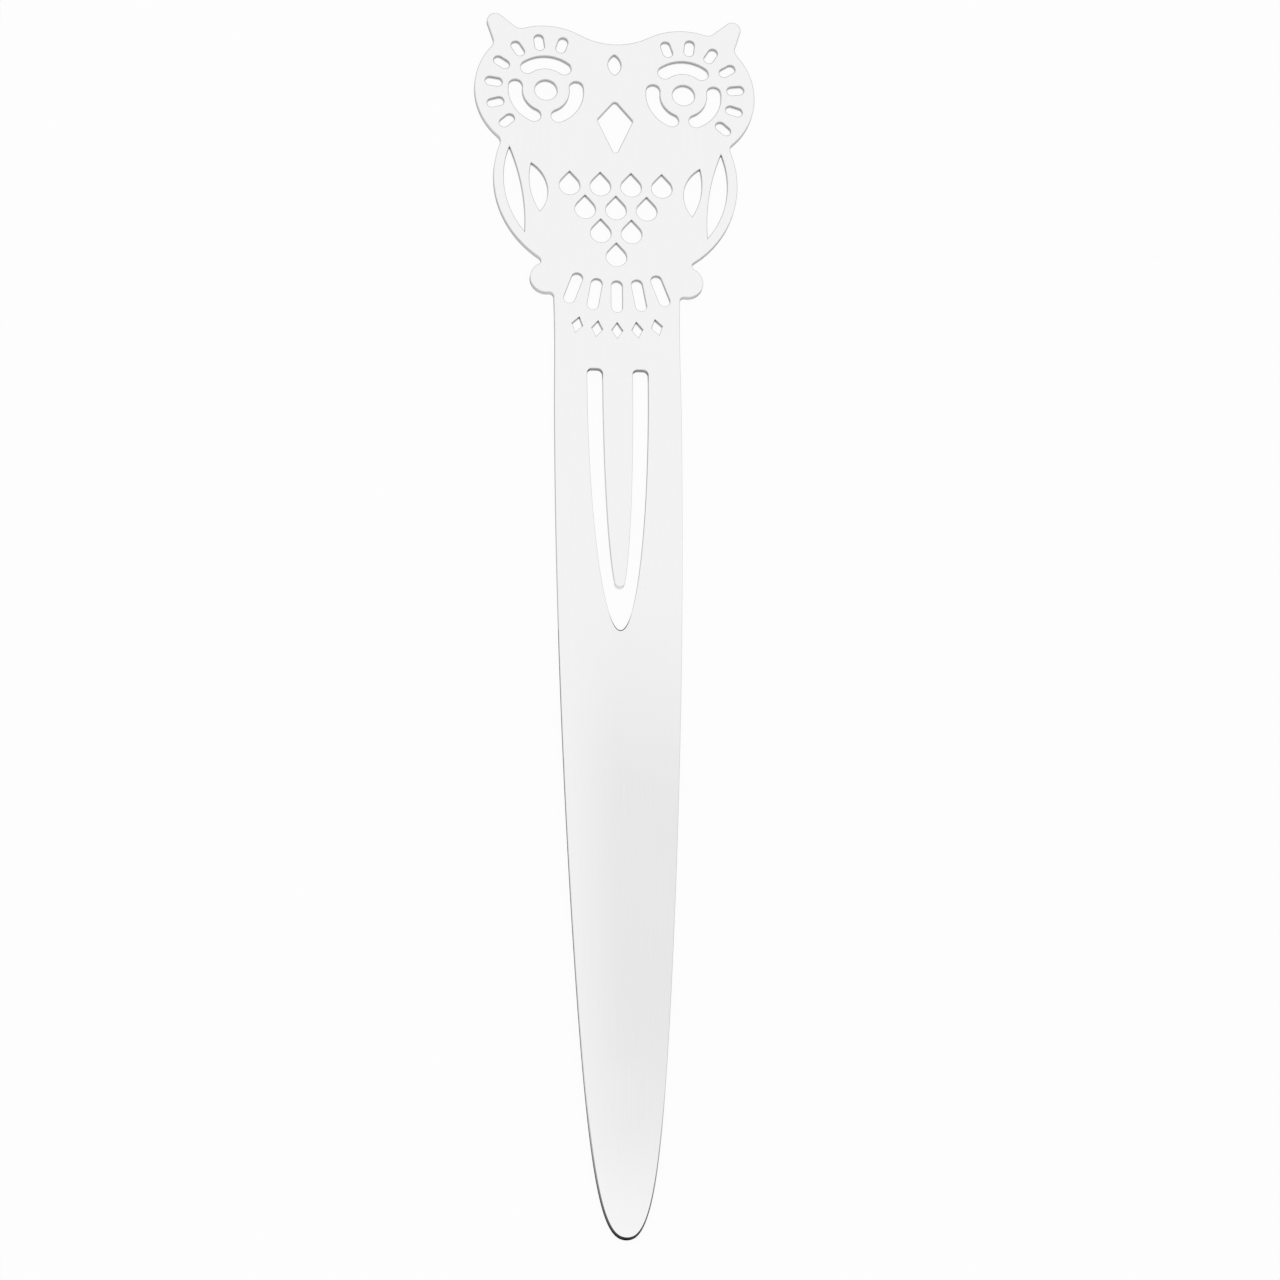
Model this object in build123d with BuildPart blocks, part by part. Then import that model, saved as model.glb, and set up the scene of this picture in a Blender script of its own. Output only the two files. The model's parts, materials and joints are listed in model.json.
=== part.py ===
from build123d import *
import os
from math import acos, atan2, degrees, hypot, sqrt

# A flat bookmark and paper knife, cut from one sheet of stainless steel: a pierced owl at the top,
# a shank with a sprung page clip freed by a slot, and a blade that tapers to a round nose.
# The sheet lies on its back, on Z = 0. Y runs along it, with the owl at +Y and the blade at -Y.
# The origin is at mid-length on the back face. Sizes are in millimetres, angles in degrees.

# Sheet
overall_length = 150.0
sheet_thickness = 0.8

# Shank and blade
shank_width = 14.7
taper_below_clip = 5.6
blade_point_length = 32.6
blade_point_width = 11.05
point_side_share = 0.85
point_nose_share = 0.235

# Page clip: a tongue inside a slot
clip_below_owl = 12.45
tongue_width = 3.5
tongue_length = 26.3
slot_width = 1.8
slot_end_length = 0.9
slot_end_fillet = 0.6
tongue_tip_gap = 5.25
tongue_reach_share = 0.963
tongue_nose_angle = 70.0
flex_share = 0.15

# Owl outline
cheek_spread = 16.2
cheek_radius = 8.4
brow_radius = 8.3
body_width = 28.6
body_spread = 3.6
body_below_cheek = 11.4
tuft_height = 1.4
tuft_inset = 2.5
tuft_tip_radius = 1.0
tuft_root_radius = 2.6
tuft_root_share = 0.45
foot_radius = 1.9
foot_overhang = 2.75
foot_drop = 2.0
tuft_fillet = 1.2
waist_fillet = 0.8
foot_fillet = 0.5

# Owl piercings: the metal left at the edge, eyes, facial rays, forehead and beak
edge_rib = 1.2
eye_slot_width = 1.6
eye_rib = 0.8
eye_bridge = 1.3
eye_slot_count = 3
eye_first_angle = 90.0
pupil_radius = 1.3
ray_count = 7
ray_first_angle = -42.0
ray_fan_angle = 150.0
ray_length = 2.0
ray_width = 1.1
forehead_rib = 1.4
forehead_length = 2.6
forehead_width = 1.5
beak_width = 4.2
beak_length = 7.2
beak_drop = 3.6
beak_top_share = 0.35
beak_fillet = 0.35

# Owl piercings: wings, breast feathers, tail and the row below it
wing_rib = 1.0
wing_slit_width = 2.0
wing_slit_count = 2
wing_top_angle = 20.0
wing_bottom_angle = -38.0
wing_step_angle = 7.0
feather_radius = 1.2
feather_length = 3.0
feather_pitch = 3.6
feather_row_pitch = 3.0
feather_drop = 0.8
feather_rib = 0.9
tail_slot_count = 5
tail_fan_angle = 40.0
tail_slot_length = 4.0
tail_slot_width = 1.3
tail_drop = 2.35
lozenge_count = 5
lozenge_fan_angle = 28.0
lozenge_width = 1.3
lozenge_length = 2.0
lozenge_drop = 6.65

# Levels along the sheet
body_radius = (body_width - body_spread) / 2
top_y = overall_length / 2
nose_y = -overall_length / 2
cheek_y = top_y - tuft_height - cheek_radius
body_y = cheek_y - body_below_cheek
root_y = body_y - body_radius - clip_below_owl
flex_y = root_y - flex_share * tongue_length
tongue_tip_y = root_y - tongue_length
point_y = nose_y + blade_point_length

# Places across the sheet
cheek_x = cheek_spread / 2
body_x = body_spread / 2
foot_x = shank_width / 2 + foot_overhang - foot_radius
foot_y = body_y - sqrt(body_radius**2 - (foot_x - body_x) ** 2) - foot_drop
window_half = tongue_width / 2 + slot_width
slot_leg_x = (tongue_width + slot_width) / 2

# The hollow of the brow touches both cheeks, so its centre follows from the two radii.
brow_y = cheek_y + sqrt((brow_radius + cheek_radius) ** 2 - cheek_x**2)
brow_half_angle = degrees(atan2(cheek_x, brow_y - cheek_y))

# An ear tuft: the hull of a small round tip and a wider root inside the cheek
cheek_center = Vector(cheek_x, cheek_y)
tuft_tip = Vector(cheek_x + cheek_radius - tuft_inset, top_y - tuft_tip_radius)
tuft_root = cheek_center + (tuft_tip - cheek_center) * tuft_root_share

with BuildSketch() as tuft:
    with Locations(tuft_tip):
        Circle(tuft_tip_radius)
    with Locations(tuft_root):
        Circle(tuft_root_radius)
    make_hull()

# Outline: head, tufts, body and feet, then the shank and blade
with BuildSketch() as outline:
    with BuildLine():
        CenterArc((0, brow_y), brow_radius, 270, brow_half_angle)
        cheek = CenterArc(cheek_center, cheek_radius, 90 + brow_half_angle, -180 - brow_half_angle)
        Line(cheek @ 1, (0, (cheek @ 1).Y))
        mirror(about=Plane.YZ)
    make_face()
    add(tuft.sketch)
    mirror(tuft.sketch, about=Plane.YZ)
    with Locations((-body_x, body_y), (body_x, body_y)):
        Circle(body_radius)
    with Locations((-foot_x, foot_y), (foot_x, foot_y)):
        Circle(foot_radius)
    with BuildLine():
        shoulder = Line((0, body_y), (shank_width / 2, body_y))
        shank_side = Line(shoulder @ 1, (shank_width / 2, root_y - taper_below_clip))
        taper = TangentArc(shank_side @ 1, (blade_point_width / 2, point_y), tangent=shank_side % 1)
        Bezier(
            taper @ 1,
            taper @ 1 + (taper % 1) * (point_side_share * blade_point_length),
            (point_nose_share * blade_point_width, nose_y),
            (0, nose_y),
        )
        mirror(about=Plane.YZ)
    make_face()

    # Inner corners are eased: where the tufts leave the cheeks, at the waist and round the feet
    tuft_corners = outline.vertices().filter_by(
        lambda corner: abs(corner.X) > cheek_x
        and corner.Y > cheek_y
        and hypot(abs(corner.X) - cheek_x, corner.Y - cheek_y) < cheek_radius + tuft_tip_radius / 2
    )
    fillet(tuft_corners, tuft_fillet)
    waist_corners = outline.vertices().filter_by_position(Axis.Y, body_y, cheek_y, (False, False))
    fillet(waist_corners, waist_fillet)
    foot_corners = outline.vertices().filter_by_position(Axis.Y, root_y, body_y, (False, False))
    fillet(foot_corners, foot_fillet)

# The clip's tongue: a long half-ellipse with a small round nose, free below its flexing line
with BuildSketch() as whole_tongue:
    with BuildLine():
        tongue_reach = tongue_length / tongue_reach_share
        side = EllipticalCenterArc((0, root_y), tongue_width / 2, tongue_reach, arc_size=-tongue_nose_angle)
        mirror(side, about=Plane.YZ)
        ThreePointArc(side @ 1, (0, tongue_tip_y), (-(side @ 1).X, (side @ 1).Y))
        Line((-tongue_width / 2, root_y), (tongue_width / 2, root_y))
    make_face()

with BuildSketch() as free_tongue:
    add(whole_tongue.sketch)
    with Locations((0, flex_y)):
        Rectangle(tongue_width, tongue_length, align=(Align.CENTER, Align.MIN), mode=Mode.SUBTRACT)

# The slot round it: a longer half-ellipse, each leg of which ends above the root with rounded corners
with BuildSketch() as clip_slot:
    with BuildLine():
        Line((-window_half, root_y), (window_half, root_y))
        EllipticalCenterArc((0, root_y), window_half, tongue_length + tongue_tip_gap, 180, arc_size=180)
    make_face()
    with Locations((-slot_leg_x, root_y), (slot_leg_x, root_y)):
        Rectangle(slot_width, slot_end_length, align=(Align.CENTER, Align.MIN))
    fillet(clip_slot.vertices().group_by(Axis.Y)[-1], slot_end_fillet)
    add(whole_tongue.sketch, mode=Mode.SUBTRACT)

# A breast feather: a round foot whose two tangents meet in a point
with BuildSketch() as feather:
    point_rise = feather_length - feather_radius
    tangent_angle = 90 - degrees(acos(feather_radius / point_rise))
    with BuildLine():
        round_foot = CenterArc((0, 0), feather_radius, tangent_angle, -180 - 2 * tangent_angle)
        Polyline(round_foot @ 0, (0, point_rise), round_foot @ 1)
    make_face()

with BuildSketch() as lozenge:
    with BuildLine():
        Polyline((lozenge_length / 2, 0), (0, lozenge_width / 2), (-lozenge_length / 2, 0))
        mirror(about=Plane.XZ)
    make_face()

# Piercings on the owl's right: an eye ring with bridges, its pupil, the facial rays and the wing
with BuildSketch() as side_piercings:
    eye_ring_radius = cheek_radius - edge_rib - ray_length - eye_rib - eye_slot_width / 2
    slot_pitch_angle = 360 / eye_slot_count
    slot_sweep = slot_pitch_angle - degrees((eye_bridge + eye_slot_width) / eye_ring_radius)
    for turn in range(eye_slot_count):
        start_angle = eye_first_angle + turn * slot_pitch_angle - slot_sweep / 2
        ring = CenterArc(cheek_center, eye_ring_radius, start_angle, slot_sweep, mode=Mode.PRIVATE)
        SlotArc(ring, eye_slot_width)
    ray_radius = cheek_radius - edge_rib - ray_length / 2
    with Locations(cheek_center):
        Circle(pupil_radius)
        with PolarLocations(ray_radius, ray_count, ray_first_angle, ray_fan_angle, endpoint=True):
            SlotOverall(ray_length, ray_width)
    for step in range(wing_slit_count):
        slit_radius = body_radius - edge_rib - step * (wing_slit_width + wing_rib)
        slit_start = wing_bottom_angle + step * wing_step_angle
        slit_end = wing_top_angle - step * wing_step_angle
        with BuildLine():
            outer = CenterArc((body_x, body_y), slit_radius, slit_start, slit_end - slit_start)
            inward = (Vector(body_x, body_y) - outer @ 0.5).normalized()
            ThreePointArc(outer @ 0, outer @ 0.5 + inward * wing_slit_width, outer @ 1)
        make_face()

# Piercings on the middle line: forehead, beak, breast feathers, tail fan and a row of lozenges
with BuildSketch() as middle_piercings:
    with BuildLine():
        forehead_top = brow_y - brow_radius - forehead_rib
        ThreePointArc(
            (0, forehead_top),
            (forehead_width / 2, forehead_top - forehead_length / 2),
            (0, forehead_top - forehead_length),
        )
        mirror(about=Plane.YZ)
    make_face()
    with BuildLine():
        beak_y = cheek_y - beak_drop
        beak_top = beak_y + beak_top_share * beak_length
        Polyline((0, beak_top), (beak_width / 2, beak_y), (0, beak_top - beak_length))
        mirror(about=Plane.YZ)
    beak = make_face()
    fillet(beak.vertices(), beak_fillet)

    # Each row of feathers has one fewer than the row above, down to the tail
    tail_radius = body_radius + tail_drop
    feather_space = tail_radius - tail_slot_length / 2 - feather_rib - feather_radius - feather_drop
    feather_row_count = 1 + int(feather_space / feather_row_pitch)
    for row in range(feather_row_count):
        with Locations((0, body_y - feather_drop - row * feather_row_pitch)):
            with GridLocations(feather_pitch, feather_row_pitch, feather_row_count - row, 1):
                add(feather.sketch)
    with Locations((0, body_y)):
        tail_start = 270 - tail_fan_angle / 2
        with PolarLocations(tail_radius, tail_slot_count, tail_start, tail_fan_angle, endpoint=True):
            SlotOverall(tail_slot_length, tail_slot_width)
        row_radius = body_radius + lozenge_drop
        row_start = 270 - lozenge_fan_angle / 2
        with PolarLocations(row_radius, lozenge_count, row_start, lozenge_fan_angle, endpoint=True):
            add(lozenge.sketch)

# The sheet
with BuildPart() as bookmark_plate:
    with BuildSketch():
        add(outline.sketch)
        for opening in (clip_slot, free_tongue, side_piercings, middle_piercings):
            add(opening.sketch, mode=Mode.SUBTRACT)
        mirror(side_piercings.sketch, about=Plane.YZ, mode=Mode.SUBTRACT)
    extrude(amount=sheet_thickness)
bookmark_plate.part.label = "bookmark_plate"

# The tongue, as thick as the sheet and flush with it at rest
with BuildPart() as clip_tongue:
    with BuildSketch():
        add(free_tongue.sketch)
    extrude(amount=sheet_thickness)
clip_tongue.part.label = "clip_tongue"

os.makedirs("parts", exist_ok=True)
export_step(bookmark_plate.part, "parts/bookmark_plate.step")
export_step(clip_tongue.part, "parts/clip_tongue.step")
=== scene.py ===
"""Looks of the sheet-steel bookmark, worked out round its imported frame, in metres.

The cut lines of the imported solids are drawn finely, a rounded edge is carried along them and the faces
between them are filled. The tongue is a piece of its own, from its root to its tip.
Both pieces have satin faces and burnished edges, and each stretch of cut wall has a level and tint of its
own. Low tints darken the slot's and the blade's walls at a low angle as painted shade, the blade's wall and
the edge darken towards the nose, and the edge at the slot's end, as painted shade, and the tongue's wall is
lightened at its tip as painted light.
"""

import json
import math

import bpy
import numpy as np
from mathutils import Matrix, Vector
from mathutils.geometry import delaunay_2d_cdt


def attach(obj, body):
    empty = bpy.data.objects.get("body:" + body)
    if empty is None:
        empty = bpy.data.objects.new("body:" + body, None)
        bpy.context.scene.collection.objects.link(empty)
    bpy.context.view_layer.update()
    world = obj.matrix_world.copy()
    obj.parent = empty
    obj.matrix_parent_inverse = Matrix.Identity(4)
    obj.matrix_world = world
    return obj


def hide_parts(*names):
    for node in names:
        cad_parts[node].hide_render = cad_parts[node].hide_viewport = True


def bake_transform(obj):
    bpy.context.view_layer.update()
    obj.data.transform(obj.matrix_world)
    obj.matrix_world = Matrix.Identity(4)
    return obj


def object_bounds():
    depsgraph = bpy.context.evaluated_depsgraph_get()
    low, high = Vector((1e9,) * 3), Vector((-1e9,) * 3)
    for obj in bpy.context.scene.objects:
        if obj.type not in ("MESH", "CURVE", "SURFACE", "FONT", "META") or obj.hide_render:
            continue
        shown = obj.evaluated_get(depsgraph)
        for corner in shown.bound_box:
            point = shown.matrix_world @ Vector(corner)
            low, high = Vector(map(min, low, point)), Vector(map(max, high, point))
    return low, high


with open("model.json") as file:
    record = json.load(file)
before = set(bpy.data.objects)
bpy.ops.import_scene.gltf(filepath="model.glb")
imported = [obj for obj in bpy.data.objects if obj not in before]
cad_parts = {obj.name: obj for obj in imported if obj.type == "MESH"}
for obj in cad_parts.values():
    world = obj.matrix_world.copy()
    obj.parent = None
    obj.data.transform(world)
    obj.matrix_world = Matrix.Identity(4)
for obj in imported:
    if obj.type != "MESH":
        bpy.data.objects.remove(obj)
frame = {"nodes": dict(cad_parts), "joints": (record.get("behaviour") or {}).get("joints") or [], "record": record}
cad_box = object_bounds()

# Levels of the sheet and places along it, from the frame.
back_level = cad_box[0].z
front_level = cad_box[1].z
nose_end = cad_box[0].y
owl_top = cad_box[1].y
flex_line = frame["joints"][0]["pos_m"][1]
page_clip = next(mount for mount in frame["record"]["mounts"] if mount["name"] == "page_clip")
tongue_root = page_clip["pos_m"][1]

# How finely the sheet is drawn: steps along its cut lines and over its faces, and facets round its edges.
# The wall is the facet between the front and back edges.
CUT_STEP = 0.0003
FACE_STEP = 0.0015
EDGE_FACETS = 3
WALL_FACET = EDGE_FACETS
PROFILE_POINTS = 2 * (EDGE_FACETS + 1)

# What counts as one point, a corner, a straight chord or the tongue's stub, and the limit on sharp corners.
SAME_POINT = 1e-6
CORNER_TURN = math.radians(30)
STRAIGHT_RATIO = 1.5
STUB_RATIO = 1.5
SPIKE_LIMIT = 0.1

# The faces are filled in millimetres, with triangles inside their borders only.
MILLIMETRES = 1000.0
TRIANGLES_IN_LOOPS = 1

# The cut edge's radius after tumbling, and its larger radii at three worn spots, with the reach of the wear.
EDGE_ROUND = 0.00005
NOSE_ROUND = 0.00015
NOSE_WEAR_REACH = 0.085
SLOT_ROUND = 0.00015
# The slot's reach is also the reach of the painted shade on the edge at the slot's end.
SLOT_WEAR_AND_SHADE_REACH = 0.0025
TOP_ROUND = 0.00014
TOP_WEAR_REACH = 0.06

# Slots of the finishes on each piece. Only the sheet has the last two.
FACE, EDGE, SLOT_WALL, BRIGHT_WALL, PIERCED_WALL, BLADE_WALL = range(6)

# The unwrapped places of the edges and walls: run along the cut line, and depth below the front.
CUT_RUN = "cut_run"


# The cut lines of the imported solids.

def cut_lines(node):
    """The closed cut lines of a flat CAD node: arrays of (x, y), each with the metal on its left.

    They are the edges that only one triangle of the front face uses, chained head to tail.
    """
    mesh = frame["nodes"][node].data
    mesh.calc_loop_triangles()
    corners = np.empty(len(mesh.vertices) * 3, np.float32)
    mesh.vertices.foreach_get("co", corners)
    corners = corners.reshape(-1, 3).astype(float)
    triangles = np.empty(len(mesh.loop_triangles) * 3, np.int32)
    mesh.loop_triangles.foreach_get("vertices", triangles)
    triangles = triangles.reshape(-1, 3)
    on_front = np.all(corners[triangles, 2] > front_level - SAME_POINT, axis=1)
    keys = np.round(corners[:, :2] / SAME_POINT).astype(np.int64)
    _, first, merged = np.unique(keys, axis=0, return_index=True, return_inverse=True)
    flat = corners[first, :2]
    faces = merged.ravel()[triangles[on_front]]
    sides = np.concatenate([faces[:, [0, 1]], faces[:, [1, 2]], faces[:, [2, 0]]])
    code = sides @ np.array([len(flat), 1])
    code_back = sides @ np.array([1, len(flat)])
    follow = dict(sides[~np.isin(code_back, code)].tolist())
    lines = []
    while follow:
        start, here = follow.popitem()
        chain = [start]
        while here != start:
            chain.append(here)
            here = follow.pop(here)
        lines.append(flat[chain])
    return lines


def starting_at(line, found):
    """The closed line turned so that it starts at its first point that is found."""
    return np.roll(line, -int(np.argmax(found)), axis=0)


def part_at_root(window, free_end):
    """The window's line without the tongue's stub, and the tongue's whole line, both open at the root.

    The window runs from the right end of the root round to the left end, the tongue from the left end
    round its tip to the right end. The gap left between their ends is the straight root.
    """
    left = window[:, 0] < 0
    near_axis = np.abs(window[:, 0]) < np.abs(free_end[:, 0]).max() * STUB_RATIO
    at_root = near_axis & (np.abs(window[:, 1] - tongue_root) < SAME_POINT)
    right_end = starting_at(at_root & ~left, at_root & left)
    window = starting_at(window, at_root & left)
    stub_end = int(np.argmax(right_end))
    stub = window[:stub_end + 1]
    stub = stub[stub[:, 1] > flex_line + SAME_POINT]
    on_flex = np.abs(free_end[:, 1] - flex_line) < SAME_POINT
    free_end = starting_at(free_end, on_flex & (free_end[:, 0] < 0))
    tongue = np.concatenate([stub[stub[:, 0] < 0], free_end, stub[stub[:, 0] > 0]])
    return np.concatenate([window[stub_end:], window[:1]]), tongue


# The sheet's lines from the longest down: its outline, the window round the tongue, then the piercings.
plate_lines = sorted(cut_lines("bookmark_plate"), key=lambda line: np.ptp(line[:, 1]), reverse=True)
window_line, tongue_line = part_at_root(plate_lines[1], cut_lines("clip_tongue")[0])
plate_lines[1] = window_line

slot_end = window_line[:, 1].min()
slot_top = window_line[:, 1].max()
tongue_tip = tongue_line[:, 1].min()
worn_spots = (
    (nose_end, NOSE_WEAR_REACH, NOSE_ROUND),
    (slot_end, SLOT_WEAR_AND_SHADE_REACH, SLOT_ROUND),
    (owl_top, TOP_WEAR_REACH, TOP_ROUND),
)


# Shapes of the two pieces.

def unit(vectors):
    """Each vector divided by its length."""
    return vectors / np.linalg.norm(vectors, axis=-1, keepdims=True)


def drawn_finely(line, is_open):
    """A cut line as a smooth curve: its points, and at each the unit normals into the metal on both sides.

    Each chord becomes the cubic with its two end directions. At a point the direction is the mean of the
    two chords that meet there, or that of a chord much longer than its neighbours, which is straight. At
    a corner a curve takes the direction of its other end, mirrored in the chord, as on a circle.
    """
    following = np.roll(line, -1, axis=0)
    length = np.linalg.norm(following - line, axis=1)
    heading = unit(following - line)
    earlier = np.roll(heading, 1, axis=0)
    corner = np.sum(heading * earlier, axis=1) < math.cos(CORNER_TURN)
    straight = length > STRAIGHT_RATIO * np.maximum(np.roll(length, 1), np.roll(length, -1))
    direction = np.where(straight[:, None], heading, earlier + heading)
    direction = unit(np.where(np.roll(straight, 1)[:, None], earlier, direction))

    leaving, arriving = direction, np.roll(direction, -1, axis=0)
    mirrored_end = 2 * np.sum(arriving * heading, axis=1, keepdims=True) * heading - arriving
    mirrored_start = 2 * np.sum(leaving * heading, axis=1, keepdims=True) * heading - leaving
    from_corner, to_corner = corner[:, None], np.roll(corner, -1)[:, None]
    leaving = np.where(from_corner, np.where(to_corner, heading, mirrored_end), leaving)
    arriving = np.where(to_corner, np.where(from_corner, heading, mirrored_start), arriving)

    steps = np.ceil(length / CUT_STEP).astype(int)
    chord = np.repeat(np.arange(len(line)), steps)
    first = np.cumsum(steps) - steps
    t = ((np.arange(len(chord)) - first[chord]) / steps[chord])[:, None]
    start, end = line[chord], following[chord]
    pull, push = leaving[chord] * length[chord, None], arriving[chord] * length[chord, None]
    points = (1 - 3 * t**2 + 2 * t**3) * start + (3 * t**2 - 2 * t**3) * end
    points += (t - 2 * t**2 + t**3) * pull + (t**3 - t**2) * push
    slope = 6 * (t**2 - t) * (start - end)
    slope = unit(slope + (1 - 4 * t + 3 * t**2) * pull + (3 * t**2 - 2 * t) * push)
    slope_before = slope.copy()
    slope_before[first] = np.roll(arriving, 1, axis=0)
    after = np.stack([-slope[:, 1], slope[:, 0]], axis=1)
    before = np.stack([-slope_before[:, 1], slope_before[:, 0]], axis=1)
    if is_open:
        kept = slice(0, first[-1] + 1)
        points, before, after = points[kept], before[kept], after[kept]
        before[0], after[-1] = after[0], before[-1]
    return points, before, after


def edge_profiles(points):
    """The rounded edge at each point, from the front face down the wall to the back: lean, inset, height.

    It is two quarter circles of the edge's radius, joined by the wall, and lean is the angle of its normal
    above level. Within the reach of a spot of wear on the middle line, the radius grows evenly towards it.
    """
    radius = np.full((len(points), 1), EDGE_ROUND)
    for spot, reach, worn_round in worn_spots:
        away = np.hypot(points[:, :1], points[:, 1:] - spot)
        radius += np.clip(1 - away / reach, 0, 1) * (worn_round - EDGE_ROUND)
    quarter = np.linspace(math.pi / 2, 0, EDGE_FACETS + 1)
    lean = np.concatenate([quarter, -quarter[::-1]])
    inset = radius * (1 - np.cos(lean))
    centre = np.repeat(np.hstack([front_level - radius, back_level + radius]), EDGE_FACETS + 1, axis=1)
    return lean, inset, centre + radius * np.sin(lean)


def leaned(inward, lean):
    """Unit normals that point out of the metal, turned up from level by each lean of the profile."""
    level_part = -inward[:, None] * np.cos(lean)[:, None]
    upward_part = np.broadcast_to(np.sin(lean)[:, None], (*level_part.shape[:2], 1))
    return np.concatenate([level_part, upward_part], axis=2)


def at_corners(near, far):
    """Values at the four corners of each quad between two rows, from the values along the rows."""
    return np.stack([near[:, :-1], near[:, 1:], far[:, 1:], far[:, :-1]], axis=2)


def edge_strip(line, is_open):
    """The rounded edge and the wall along a cut line: a grid with one row, across it, for each point.

    A point of the grid is the line's point, moved into the metal by the profile's inset along the bisector
    of its two normals, at the profile's height. With the grid come the points' numbers, the quads between
    its rows, and at the quads' corners the normals and the unwrapped places.
    """
    points, before, after = drawn_finely(line, is_open)
    lean, inset, height = edge_profiles(points)
    widening = np.maximum(1 + np.sum(before * after, axis=1, keepdims=True), SPIKE_LIMIT)
    bisector = (before + after) / widening
    plan = points[:, None] + bisector[:, None] * inset[..., None]
    grid = np.concatenate([plan, height[..., None]], axis=2)

    numbers = np.arange(len(points) * PROFILE_POINTS).reshape(-1, PROFILE_POINTS)
    here = np.arange(len(points) - 1 if is_open else len(points))
    there = (here + 1) % len(points)
    quads = at_corners(numbers[here], numbers[there])
    normals = at_corners(leaned(after[here], lean), leaned(before[there], lean))
    step_lengths = np.linalg.norm(np.diff(points, axis=0, append=points[:1]), axis=1)
    run = np.concatenate([[0], np.cumsum(step_lengths)])[:, None].repeat(PROFILE_POINTS, axis=1)
    depth = front_level - height
    u = at_corners(run[here], run[here + 1])
    v = at_corners(depth[here], depth[there])
    return grid, numbers, quads, normals, np.stack([u, v], axis=3)


def wall_finishes(along, is_open, is_outline):
    """The finish of the wall at each place along the sheet.

    An open line has the bright wall below the tongue's root and the slot's wall above it. The outline is bright
    down to the slot's end and changes to the blade's finish there, which darkens towards the nose as painted
    shade. A piercing's wall has a finish of its own.
    """
    if is_open:
        return np.where(along < tongue_root - SAME_POINT, BRIGHT_WALL, SLOT_WALL)
    if is_outline:
        return np.where(along > slot_end, BRIGHT_WALL, BLADE_WALL)
    return np.full(len(along), PIERCED_WALL)


def filled(rings):
    """Triangles of the face between its outer ring and its holes, with points on a staggered grid inside.

    Returns the added points and the triangles, counted over all rings and then the added points.
    """
    border = np.concatenate(rings)
    low, high = border.min(axis=0), border.max(axis=0)
    x, y = np.meshgrid(np.arange(low[0], high[0], FACE_STEP), np.arange(low[1], high[1], FACE_STEP))
    x[1::2] += FACE_STEP / 2
    added = np.stack([x.ravel(), y.ravel()], axis=1)
    nearest = np.min(np.linalg.norm(added[:, None] - border[None], axis=2), axis=1)
    added = added[nearest > FACE_STEP / 2]
    spots = np.concatenate([border, added])
    ends = np.cumsum([len(ring) for ring in rings])
    loops = [list(range(end - len(ring), end)) for ring, end in zip(rings, ends)]
    loops[1:] = [loop[::-1] for loop in loops[1:]]
    corners = [Vector(spot) for spot in spots * MILLIMETRES]
    _, _, found, sources, _, owners = delaunay_2d_cdt(corners, [], loops, TRIANGLES_IN_LOOPS, SAME_POINT)
    source = np.array([ids[0] for ids in sources])
    in_metal = np.array([ids == [0] for ids in owners])
    triangles = source[np.array(found)[in_metal]]
    used = np.unique(triangles[triangles >= len(border)])
    renumbered = np.arange(len(spots))
    renumbered[used] = len(border) + np.arange(len(used))
    return spots[used], renumbered[triangles]


def cut_sheet(name, lines, open_line):
    """A closed piece of sheet between its cut lines, the outer one first.

    Each line has its edge strip, and the front and back are filled between the strips' borders. The line
    that is open gets a flat end, from its last row to its first.
    """
    spots, faces, normals, unwrapped, finishes, rings = [], [], [], [], [], []
    count = 0
    for line in lines:
        is_open = line is open_line
        grid, numbers, quads, strip_normals, strip_unwrapped = edge_strip(line, is_open)
        along = grid[:len(quads), WALL_FACET, 1]
        finish = np.full(quads.shape[:2], EDGE)
        finish[:, WALL_FACET] = wall_finishes(along, is_open, line is lines[0])
        spots.append(grid.reshape(-1, 3))
        rings.append(grid[:, 0, :2])
        faces.append(count + quads.reshape(-1, 4))
        normals.append(strip_normals.reshape(-1, 3))
        unwrapped.append(strip_unwrapped.reshape(-1, 2))
        finishes.append(finish.ravel())
        if is_open:
            end = np.concatenate([grid[-1], grid[0, ::-1]])
            across = grid[0, 0] - grid[-1, 0]
            faces.append(count + np.concatenate([numbers[-1], numbers[0, ::-1]])[None])
            normals.append(np.tile(unit(np.array([across[1], -across[0], 0.0])), (len(end), 1)))
            unwrapped.append(end[:, [0, 2]])
            finishes.append(np.array([FACE]))
        count += numbers.size

    added, triangles = filled(rings)
    plan = np.concatenate([*rings, added])
    borders = np.arange(count).reshape(-1, PROFILE_POINTS)
    sides = (
        (front_level, borders[:, 0], [0, 1, 2], 1.0),
        (back_level, borders[:, -1], [0, 2, 1], -1.0),
    )
    for level, border, order, up in sides:
        numbers = np.concatenate([border, count + np.arange(len(added))])
        count += len(added)
        spots.append(np.column_stack([added, np.full(len(added), level)]))
        faces.append(numbers[triangles[:, order]])
        normals.append(np.tile([0.0, 0.0, up], (triangles.size, 1)))
        unwrapped.append(plan[triangles[:, order]].reshape(-1, 2))
        finishes.append(np.full(len(triangles), FACE))

    mesh = bpy.data.meshes.new(name)
    mesh.from_pydata(np.concatenate(spots).tolist(), [], [face for group in faces for face in group.tolist()])
    mesh.polygons.foreach_set("material_index", np.concatenate(finishes).astype(np.int32))
    mesh.polygons.foreach_set("use_smooth", np.ones(len(mesh.polygons), bool))
    uv_map = mesh.uv_layers.new(name=CUT_RUN)
    uv_map.uv.foreach_set("vector", np.concatenate(unwrapped).astype(np.float32).ravel())
    mesh.normals_split_custom_set(np.concatenate(normals).tolist())
    piece = bpy.data.objects.new(name, mesh)
    bpy.context.scene.collection.objects.link(piece)
    return piece


# Nodes that the finishes share.

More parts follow.
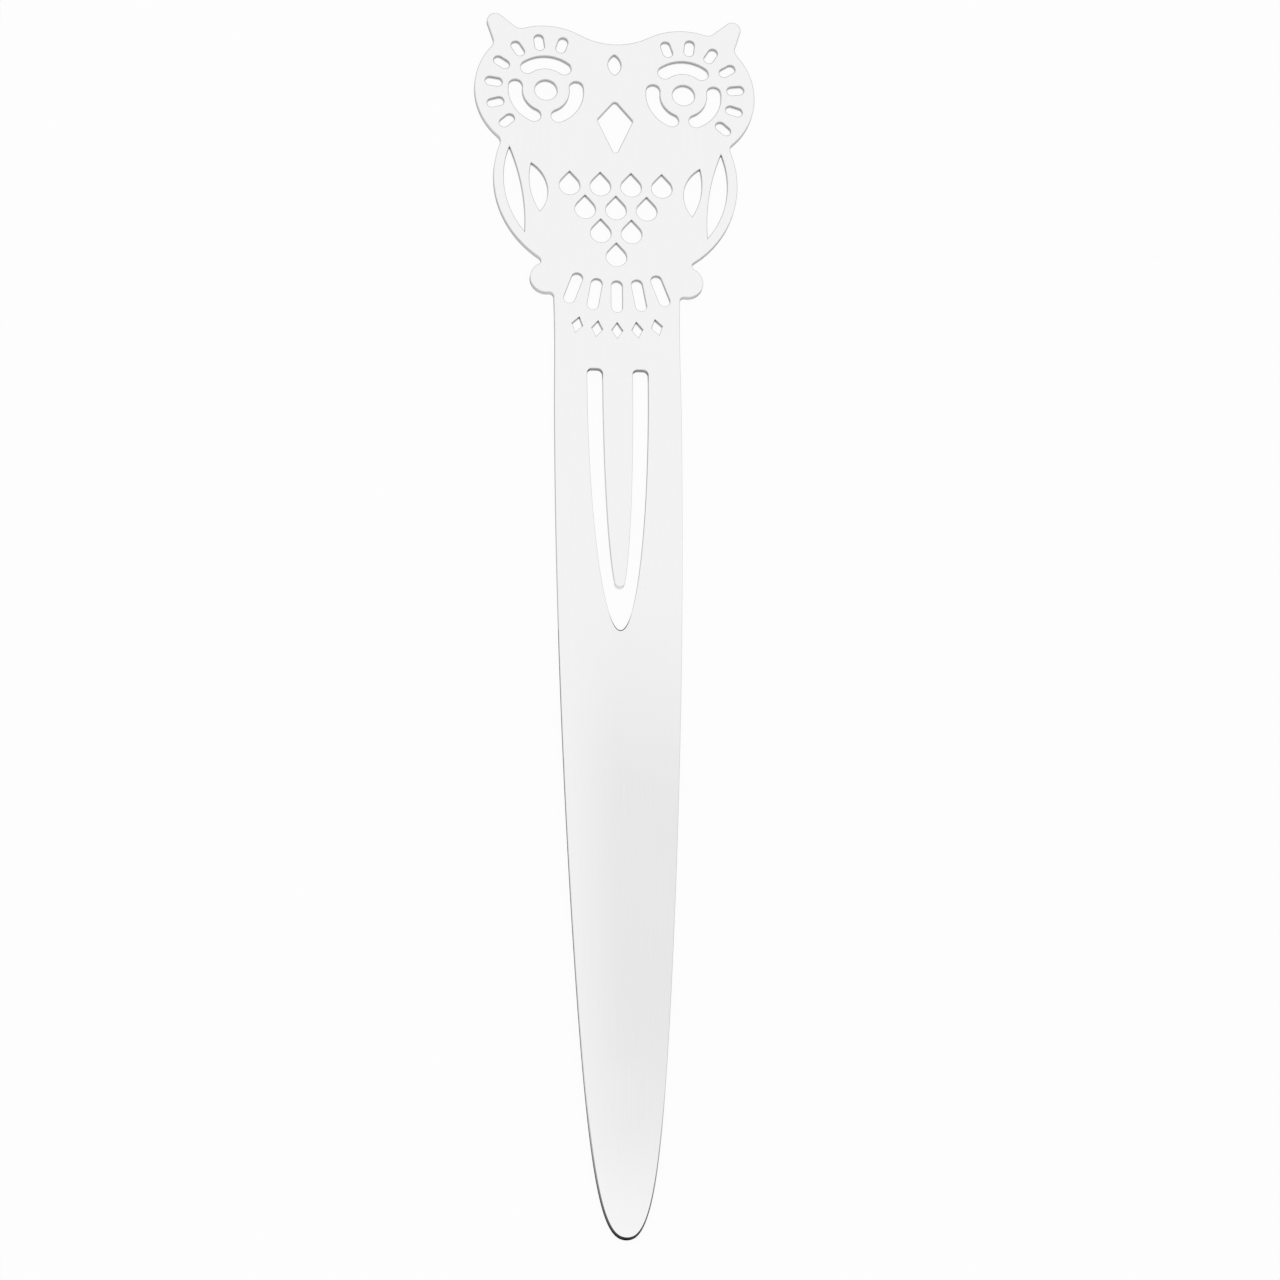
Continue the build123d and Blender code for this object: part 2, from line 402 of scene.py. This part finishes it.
# Kinds of group sockets, a colour mix's sockets, a mask's two ways, and a bump whose height is in metres.
VECTOR, VALUE = "NodeSocketVector", "NodeSocketFloat"
MIX_FACTOR, MIX_LOW, MIX_HIGH, MIX_RESULT = 0, 6, 7, 2
RISING = (0.0, 1.0)
FALLING = (1.0, 0.0)
IN_METRES = 1.0


def place(tree, kind, inputs=None, **settings):
    """A new node with its settings, and its inputs set to values or linked to other nodes' outputs."""
    node = tree.nodes.new(kind)
    for key, value in settings.items():
        setattr(node, key, value)
    for key, value in (inputs or {}).items():
        if isinstance(value, bpy.types.NodeSocket):
            tree.links.new(value, node.inputs[key])
        else:
            node.inputs[key].default_value = value
    return node


def combined(tree, operation, first, second):
    """One value from two, by a math operation."""
    return place(tree, "ShaderNodeMath", {0: first, 1: second}, operation=operation).outputs[0]


def divided(tree, vector, spacing):
    """A place divided by a spacing, which may differ from axis to axis."""
    return place(tree, "ShaderNodeVectorMath", {0: vector, 1: spacing}, operation="DIVIDE").outputs[0]


def ranged(tree, value, levels, span=(0.0, 1.0)):
    """The value carried evenly from the span to the two levels, and held at them beyond it."""
    inputs = {
        "Value": value, "From Min": span[0], "From Max": span[1], "To Min": levels[0], "To Max": levels[1]}
    return place(tree, "ShaderNodeMapRange", inputs).outputs["Result"]


def noise(tree, vector, detail, roughness):
    """Smooth noise of a place that is already divided by its spacing."""
    inputs = {"Vector": vector, "Scale": 1.0, "Detail": detail, "Roughness": roughness}
    return place(tree, "ShaderNodeTexNoise", inputs).outputs["Fac"]


def axis_part(tree, vector, axis):
    """The part of a vector along X, Y or Z."""
    return place(tree, "ShaderNodeSeparateXYZ", {0: vector}).outputs[axis]


def long_cell(tree, across, along):
    """A spacing with one length along X and another along Y and Z."""
    return place(tree, "ShaderNodeCombineXYZ", {"X": across, "Y": along, "Z": along}).outputs[0]


def grey(level):
    """A neutral colour of this level."""
    return (level, level, level, 1.0)


def tinted(tree, mask, low, high):
    """A colour between two others, by the mask."""
    inputs = {MIX_FACTOR: mask, MIX_LOW: low, MIX_HIGH: high}
    return place(tree, "ShaderNodeMix", inputs, data_type="RGBA").outputs[MIX_RESULT]


def bumped(tree, height, distance, under=None):
    """The normal of a surface with this height times the distance, over another bumped normal if given."""
    inputs = {"Height": height, "Distance": distance, "Strength": 1.0}
    if under is not None:
        inputs["Normal"] = under
    return place(tree, "ShaderNodeBump", inputs).outputs["Normal"]


def object_place(tree):
    """The place on the piece, in the shared frame."""
    return place(tree, "ShaderNodeTexCoord").outputs["Object"]


def cut_run_place(tree):
    """The unwrapped place on an edge or a wall."""
    return place(tree, "ShaderNodeUVMap", uv_map=CUT_RUN).outputs["UV"]


def group_node(tree, group, inputs):
    """A shared group placed in a material with its own values."""
    return place(tree, "ShaderNodeGroup", inputs, node_tree=group)


# Effects that the finishes are made from, as node groups.

# Detail and roughness of the noises, the parts of them that show, and the hairlines' width and cell shape.
GRAIN_DETAIL = 3.0
GRAIN_BREAKUP = 0.6
SMUDGE_DETAIL = 2.0
SMUDGE_BREAKUP = 0.5
SMUDGE_SPAN = (0.42, 0.72)
HAIRLINE_SPAN = (0.5, 0.65)
HAIRLINE_WIDTH = 0.02
HAIRLINE_LENGTH_RATIO = 14.0
IN_PLAN = (1.0, 1.0, 0.0)


def start_group(name, inputs, outputs):
    """A shader node group with its named sockets: the tree, what it is given and what it puts out."""
    tree = bpy.data.node_groups.new(name, "ShaderNodeTree")
    for way, sockets in (("INPUT", inputs), ("OUTPUT", outputs)):
        for socket, kind in sockets.items():
            tree.interface.new_socket(name=socket, in_out=way, socket_type=kind)
    return tree, tree.nodes.new("NodeGroupInput").outputs, tree.nodes.new("NodeGroupOutput").inputs


def brushed_grain_group():
    """Brush lines: noise of the place divided by one spacing along X, across, and another along Y and Z.

    The lines run the way of the longer spacing.
    """
    tree, given, result = start_group(
        "brushed_grain", {"Vector": VECTOR, "Across": VALUE, "Along": VALUE}, {"Grain": VALUE})
    spacing = long_cell(tree, given["Across"], given["Along"])
    grain = noise(tree, divided(tree, given["Vector"], spacing), GRAIN_DETAIL, GRAIN_BREAKUP)
    tree.links.new(grain, result["Grain"])
    return tree


def handling_marks_group():
    """Marks of use: soft smudges from wide noise, and hairlines along the borders of long thin cells.

    The same noise breaks the hairlines up.
    """
    tree, given, result = start_group(
        "handling_marks",
        {"Vector": VECTOR, "Smudge Size": VALUE, "Hairline Spacing": VALUE, "Turn": VALUE},
        {"Smudge": VALUE, "Hairline": VALUE})
    wide = noise(tree, divided(tree, given["Vector"], given["Smudge Size"]), SMUDGE_DETAIL, SMUDGE_BREAKUP)
    tree.links.new(ranged(tree, wide, RISING, SMUDGE_SPAN), result["Smudge"])

    turned = place(tree, "ShaderNodeVectorRotate", {
        "Vector": given["Vector"], "Angle": given["Turn"]}, rotation_type="Z_AXIS").outputs[0]
    cell_length = combined(tree, "MULTIPLY", given["Hairline Spacing"], HAIRLINE_LENGTH_RATIO)
    cell = long_cell(tree, given["Hairline Spacing"], cell_length)
    borders = place(tree, "ShaderNodeTexVoronoi", {
        "Vector": divided(tree, turned, cell), "Scale": 1.0}, feature="DISTANCE_TO_EDGE").outputs["Distance"]
    line = ranged(tree, borders, FALLING, (0.0, HAIRLINE_WIDTH))
    broken = ranged(tree, wide, RISING, HAIRLINE_SPAN)
    tree.links.new(combined(tree, "MULTIPLY", line, broken), result["Hairline"])
    return tree


def painted_shade_spot_group():
    """Painted shade round a spot on the middle line: 1 there, falling evenly to 0 at its reach in plan."""
    tree, given, result = start_group(
        "painted_shade_spot", {"Vector": VECTOR, "Spot": VALUE, "Reach": VALUE}, {"Painted Shade": VALUE})
    plan = place(tree, "ShaderNodeVectorMath", {0: given["Vector"], 1: IN_PLAN}, operation="MULTIPLY")
    spot = place(tree, "ShaderNodeCombineXYZ", {"Y": given["Spot"]})
    away = place(tree, "ShaderNodeVectorMath", {
        0: plan.outputs[0], 1: spot.outputs[0]}, operation="DISTANCE").outputs["Value"]
    tree.links.new(ranged(tree, away, FALLING, (0.0, given["Reach"])), result["Painted Shade"])
    return tree


brushed_grain = brushed_grain_group()
handling_marks = handling_marks_group()
painted_shade_spot = painted_shade_spot_group()


# Finishes of the steel.

def start_material(name):
    """A new material: itself, its tree and the inputs of its Principled shader, set to bare metal."""
    material = bpy.data.materials.new(name)
    material.use_nodes = True
    shader = material.node_tree.nodes["Principled BSDF"].inputs
    shader["Metallic"].default_value = 1.0
    return material, material.node_tree, shader


# The satin face's grain, crown and marks of use.
GRAIN_ACROSS = 0.00014
GRAIN_ALONG = 0.009
GRAIN_HEIGHT = 0.0000001
FACE_DARKEST = 0.875
FACE_PALEST = 0.91
FACE_ROUGHNESS = (0.05, 0.075)
CROWN_RADIUS = 0.25
SMUDGE_SIZE = 0.017
SMUDGE_ROUGHNESS = (0.0, 0.03)
HAIRLINE_SPACING = 0.0035
HAIRLINE_TURN = math.radians(24)
HAIRLINE_DEPTH = 0.0000005


def satin_face():
    """Bright stainless sheet: fine lengthwise grain, a slight crown across it, faint marks of use.

    The crown falls from the middle line by the square of the distance over twice its radius.
    """
    material, tree, shader = start_material("satin_face")
    spot = object_place(tree)
    grain = group_node(tree, brushed_grain, {
        "Vector": spot, "Across": GRAIN_ACROSS, "Along": GRAIN_ALONG}).outputs["Grain"]
    marks = group_node(tree, handling_marks, {
        "Vector": spot, "Smudge Size": SMUDGE_SIZE, "Hairline Spacing": HAIRLINE_SPACING,
        "Turn": HAIRLINE_TURN}).outputs
    tree.links.new(tinted(tree, grain, grey(FACE_DARKEST), grey(FACE_PALEST)), shader["Base Color"])
    brushed = ranged(tree, grain, FACE_ROUGHNESS)
    smudged = ranged(tree, marks["Smudge"], SMUDGE_ROUGHNESS)
    tree.links.new(combined(tree, "ADD", brushed, smudged), shader["Roughness"])
    across = axis_part(tree, spot, "X")
    square = combined(tree, "MULTIPLY", across, across)
    crown = combined(tree, "MULTIPLY", square, -1 / (2 * CROWN_RADIUS))
    normal = bumped(tree, crown, IN_METRES)
    normal = bumped(tree, grain, GRAIN_HEIGHT, normal)
    normal = bumped(tree, marks["Hairline"], -HAIRLINE_DEPTH, normal)
    tree.links.new(normal, shader["Normal"])
    return material


# The rounded edge's rub marks and greys, and the level and reach of its painted shade at the nose.
RUB_ACROSS = 0.002
RUB_ALONG = 0.0002
EDGE_DARKEST = (0.76, 0.76, 0.765, 1.0)
EDGE_PALEST = 0.88
EDGE_PAINTED_SHADE = 0.02
EDGE_ROUGHNESS = (0.12, 0.26)
NOSE_PAINTED_SHADE_REACH = 0.018


def burnished_edge():
    """The rounded edge: rubbed smooth by tumbling, and darkened at the nose and at the slot's free end as painted
    shade.
    """
    material, tree, shader = start_material("burnished_edge")
    rub = group_node(tree, brushed_grain, {
        "Vector": cut_run_place(tree), "Across": RUB_ACROSS, "Along": RUB_ALONG}).outputs["Grain"]
    spot = object_place(tree)
    # The edge darkens near the nose and near the slot's end: painted shade.
    nose = group_node(tree, painted_shade_spot, {"Vector": spot, "Spot": nose_end, "Reach": NOSE_PAINTED_SHADE_REACH})
    slot = group_node(tree, painted_shade_spot, {"Vector": spot, "Spot": slot_end, "Reach": SLOT_WEAR_AND_SHADE_REACH})
    painted_shade = combined(tree, "MAXIMUM", nose.outputs["Painted Shade"], slot.outputs["Painted Shade"])
    bright = tinted(tree, rub, EDGE_DARKEST, grey(EDGE_PALEST))
    tree.links.new(tinted(tree, painted_shade, bright, grey(EDGE_PAINTED_SHADE)), shader["Base Color"])
    tree.links.new(ranged(tree, rub, EDGE_ROUGHNESS), shader["Roughness"])
    return material


# The cut walls' drag lines, and the depths between which a wall's foot gains its level.
DRAG_ACROSS = 0.00016
DRAG_ALONG = 0.0016
DRAG_HEIGHT = 0.000012
WALL_ROUGHNESS = (0.26, 0.4)
FOOT_SPAN = (0.00036, 0.00056)


def cut_wall(name, levels, edge_tint, fade=None, foot_gain=None):
    """A cut wall with upright drag lines between two levels, tinted where it is seen at a low angle.

    A fade is a gain and two places along Y: the levels are multiplied by the gain at the first place, by 1
    at the second, and evenly between. A foot gain multiplies them near the back of the sheet.
    """
    material, tree, shader = start_material(name)
    run = cut_run_place(tree)
    drag = group_node(tree, brushed_grain, {
        "Vector": run, "Across": DRAG_ACROSS, "Along": DRAG_ALONG}).outputs["Grain"]
    level = ranged(tree, drag, levels)
    if fade:
        gain, start, stop = fade
        along = axis_part(tree, object_place(tree), "Y")
        level = combined(tree, "MULTIPLY", level, ranged(tree, along, (gain, 1.0), (start, stop)))
    if foot_gain:
        depth = axis_part(tree, run, "Y")
        level = combined(tree, "MULTIPLY", level, ranged(tree, depth, (1.0, foot_gain), FOOT_SPAN))
    tree.links.new(level, shader["Base Color"])
    tree.links.new(ranged(tree, drag, WALL_ROUGHNESS), shader["Roughness"])
    tree.links.new(bumped(tree, drag, DRAG_HEIGHT), shader["Normal"])
    shader["Specular Tint"].default_value = grey(edge_tint)
    return material


# Levels of the walls, and their tints at a low angle. A low tint darkens a wall seen at a low angle, as painted
# shade.
BRIGHT_LEVELS = (0.56, 0.72)
TONGUE_LEVELS = (0.5, 0.66)
SLOT_LEVELS = (0.34, 0.5)
PIERCED_LEVELS = (0.22, 0.34)
PAINTED_SHADE_TINT = 0.08
BRIGHT_TINT = 0.5
RUBBED_TINT = 0.9

# Gains of the walls at the nose, at the tongue's root and tip, and in the piercings near the back. The nose's gain
# darkens the blade's wall towards the nose, as painted shade.
NOSE_GAIN = 0.09
ROOT_GAIN = 1.5
# The tip's gain lightens the tongue's wall at its tip, as painted light.
TIP_GAIN = 1.4
TIP_PAINTED_LIGHT_LENGTH = 0.004
PIERCED_FOOT_GAIN = 2.8


def shared_finishes():
    """The finishes that both pieces have, in the order of their slots."""
    # The slot's wall takes the low tint: painted shade where it is seen at a low angle.
    slot_wall = cut_wall("slot_wall", SLOT_LEVELS, PAINTED_SHADE_TINT, fade=(ROOT_GAIN, tongue_root, slot_top))
    return [satin_face(), burnished_edge(), slot_wall]


def sheet_walls():
    """The sheet's own walls, in the order of their slots.

    They are round the owl, the shank and the slot below the root, in the piercings, and down the blade.
    """
    return [
        cut_wall("owl_wall", BRIGHT_LEVELS, BRIGHT_TINT),
        cut_wall("pierced_wall", PIERCED_LEVELS, RUBBED_TINT, foot_gain=PIERCED_FOOT_GAIN),
        # The blade's wall takes the low tint and darkens towards the nose: painted shade.
        cut_wall("blade_wall", BRIGHT_LEVELS, PAINTED_SHADE_TINT, fade=(NOSE_GAIN, nose_end, slot_end)),
    ]


def tongue_walls():
    """The tongue's own wall, lightened at its tip as painted light."""
    tip_fade = (TIP_GAIN, tongue_tip, tongue_tip + TIP_PAINTED_LIGHT_LENGTH)
    return [cut_wall("tongue_wall", TONGUE_LEVELS, RUBBED_TINT, fade=tip_fade)]


def dress(piece, node, finishes):
    """Gives a piece its finishes, in the order of their slots, and hides the imported node that it replaces."""
    for material in finishes:
        piece.data.materials.append(material)
    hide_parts(node)


# The floor, the light and the camera.

FLOOR_REACH = 2.0
FLOOR_DROP = 0.00002
FLOOR_LEVEL = 0.93
FLOOR_ROUGHNESS = 0.9
FLOOR_OWN_LIGHT = 0.945


def floor_sheet():
    """A wide white floor, just below the sheet: mostly its own white, and a share that shows the shadow."""
    height = back_level - FLOOR_DROP
    corners = [(x * FLOOR_REACH, y * FLOOR_REACH, height) for x, y in ((-1, -1), (1, -1), (1, 1), (-1, 1))]
    mesh = bpy.data.meshes.new("floor")
    mesh.from_pydata(corners, [], [range(len(corners))])
    floor = bpy.data.objects.new("floor", mesh)
    bpy.context.scene.collection.objects.link(floor)
    material = bpy.data.materials.new("white_floor")
    material.use_nodes = True
    tree = material.node_tree
    shader = tree.nodes["Principled BSDF"]
    shader.inputs["Base Color"].default_value = grey(FLOOR_LEVEL)
    shader.inputs["Roughness"].default_value = FLOOR_ROUGHNESS
    white = place(tree, "ShaderNodeEmission", {"Color": grey(1.0), "Strength": 1.0})
    ray = place(tree, "ShaderNodeLightPath").outputs
    seen = combined(tree, "MAXIMUM", ray["Is Camera Ray"], ray["Is Glossy Ray"])
    seen = combined(tree, "MAXIMUM", seen, ray["Is Transmission Ray"])
    share = combined(tree, "MULTIPLY", seen, FLOOR_OWN_LIGHT)
    mix = place(tree, "ShaderNodeMixShader", {0: share, 1: shader.outputs[0], 2: white.outputs[0]})
    tree.links.new(mix.outputs[0], tree.nodes["Material Output"].inputs["Surface"])
    mesh.materials.append(material)


# The dome's levels low down, from left to right, and the heights between which it turns white.
LOW_LEVELS = (0.25, 0.4)
LOW_SPAN = (-0.6, 0.8)
DOME_RISE = (0.3, 0.75)

# The darker strip's borders and depth, the gleam before it and the grey overhead, by lean and slant.
STRIP_START = (0.325, 0.333)
STRIP_STOP = (0.392, 0.406)
STRIP_DEPTHS = (0.01, 0.11)
STRIP_SLANTS = (0.06, 0.11)
GLEAM_LEVELS = (1.05, 1.0)
GLEAM_STOP = (0.316, 0.33)
OVERHEAD_LEVELS = (0.8, 1.0)
OVERHEAD_STOP = (0.0, 0.3)

LAMP_SIZE = 1.0
LAMP_ENERGY = 0.4
LAMP_PLACE = (-0.85, 0.25, 0.46)


def studio():
    """A dome that is white high up and darker low down, most on the left, and one large soft lamp there.

    High up the dome has a slightly darker strip, from one lean towards +Y to another, which shows in the
    blade. The strip fades out towards the left, and before it the dome is a little brighter, which shows in
    the nose. Straight overhead it is grey, so that the sheet stands out from the floor from there too. The
    lean of a direction is its part along Y over Z, and its slant the part along X over Z.
    """
    world = bpy.data.worlds.new("studio")
    world.use_nodes = True
    bpy.context.scene.world = world
    tree = world.node_tree
    direction = place(tree, "ShaderNodeTexCoord").outputs["Generated"]
    way = place(tree, "ShaderNodeSeparateXYZ", {0: direction}).outputs
    lean = combined(tree, "DIVIDE", way["Y"], way["Z"])
    slant = combined(tree, "DIVIDE", way["X"], way["Z"])
    low = ranged(tree, way["X"], LOW_LEVELS, LOW_SPAN)
    dome = ranged(tree, way["Z"], (low, 1.0), DOME_RISE)
    started = ranged(tree, lean, RISING, STRIP_START)
    not_stopped = ranged(tree, lean, FALLING, STRIP_STOP)
    strip = combined(tree, "MULTIPLY", started, not_stopped)
    shade = combined(tree, "MULTIPLY", strip, ranged(tree, slant, STRIP_DEPTHS, STRIP_SLANTS))
    kept = combined(tree, "SUBTRACT", ranged(tree, lean, GLEAM_LEVELS, GLEAM_STOP), shade)
    level = combined(tree, "MULTIPLY", dome, kept)
    level = combined(tree, "MULTIPLY", level, ranged(tree, lean, OVERHEAD_LEVELS, OVERHEAD_STOP))
    tree.links.new(level, tree.nodes["Background"].inputs["Color"])

    data = bpy.data.lights.new("soft_lamp", "AREA")
    data.size = LAMP_SIZE
    data.energy = LAMP_ENERGY
    lamp = bpy.data.objects.new("soft_lamp", data)
    lamp.location = LAMP_PLACE
    lamp.rotation_euler = (-lamp.location).to_track_quat("-Z", "Y").to_euler()
    bpy.context.scene.collection.objects.link(lamp)


# The photograph's camera, for an image that is 1280 pixels wide.
CAMERA_AZIMUTH = math.radians(-16)
CAMERA_ELEVATION = math.radians(67)
CAMERA_ROLL = math.radians(16.645)
CAMERA_DISTANCE = 0.840665
AIM_X = 0.002222
AIM_Y = -0.00389
FOCAL_PIXELS = 7400.8
IMAGE_PIXELS = 1280.0
SENSOR_MILLIMETRES = 36.0
VIEW_REACH = 20.0


def photo_camera():
    """The camera at the photograph's angle: back along azimuth and elevation from the aim, then rolled."""
    level_reach = math.cos(CAMERA_ELEVATION)
    back = Vector((math.sin(CAMERA_AZIMUTH) * level_reach, -math.cos(CAMERA_AZIMUTH) * level_reach,
                   math.sin(CAMERA_ELEVATION)))
    right = Vector((0, 0, 1)).cross(back).normalized()
    up = back.cross(right)
    across = math.cos(CAMERA_ROLL) * right + math.sin(CAMERA_ROLL) * up
    upward = math.cos(CAMERA_ROLL) * up - math.sin(CAMERA_ROLL) * right
    data = bpy.data.cameras.new("photo_camera")
    data.sensor_width = SENSOR_MILLIMETRES
    data.lens = FOCAL_PIXELS / IMAGE_PIXELS * SENSOR_MILLIMETRES
    data.clip_end = VIEW_REACH
    camera = bpy.data.objects.new("photo_camera", data)
    aim = Vector((AIM_X, AIM_Y, front_level))
    turn = Matrix((across, upward, back)).transposed().to_4x4()
    camera.matrix_world = Matrix.Translation(aim + CAMERA_DISTANCE * back) @ turn
    bpy.context.scene.collection.objects.link(camera)
    bpy.context.scene.camera = camera


# The dressed bookmark in its studio.

finishes = shared_finishes()

steel_sheet = cut_sheet("steel_sheet", plate_lines, window_line)
dress(steel_sheet, "bookmark_plate", finishes + sheet_walls())
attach(steel_sheet, "sheet")

sprung_tongue = cut_sheet("sprung_tongue", [tongue_line], tongue_line)
dress(sprung_tongue, "clip_tongue", finishes + tongue_walls())
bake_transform(sprung_tongue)

floor_sheet()
studio()
photo_camera()
bpy.context.scene.view_settings.view_transform = "Standard"
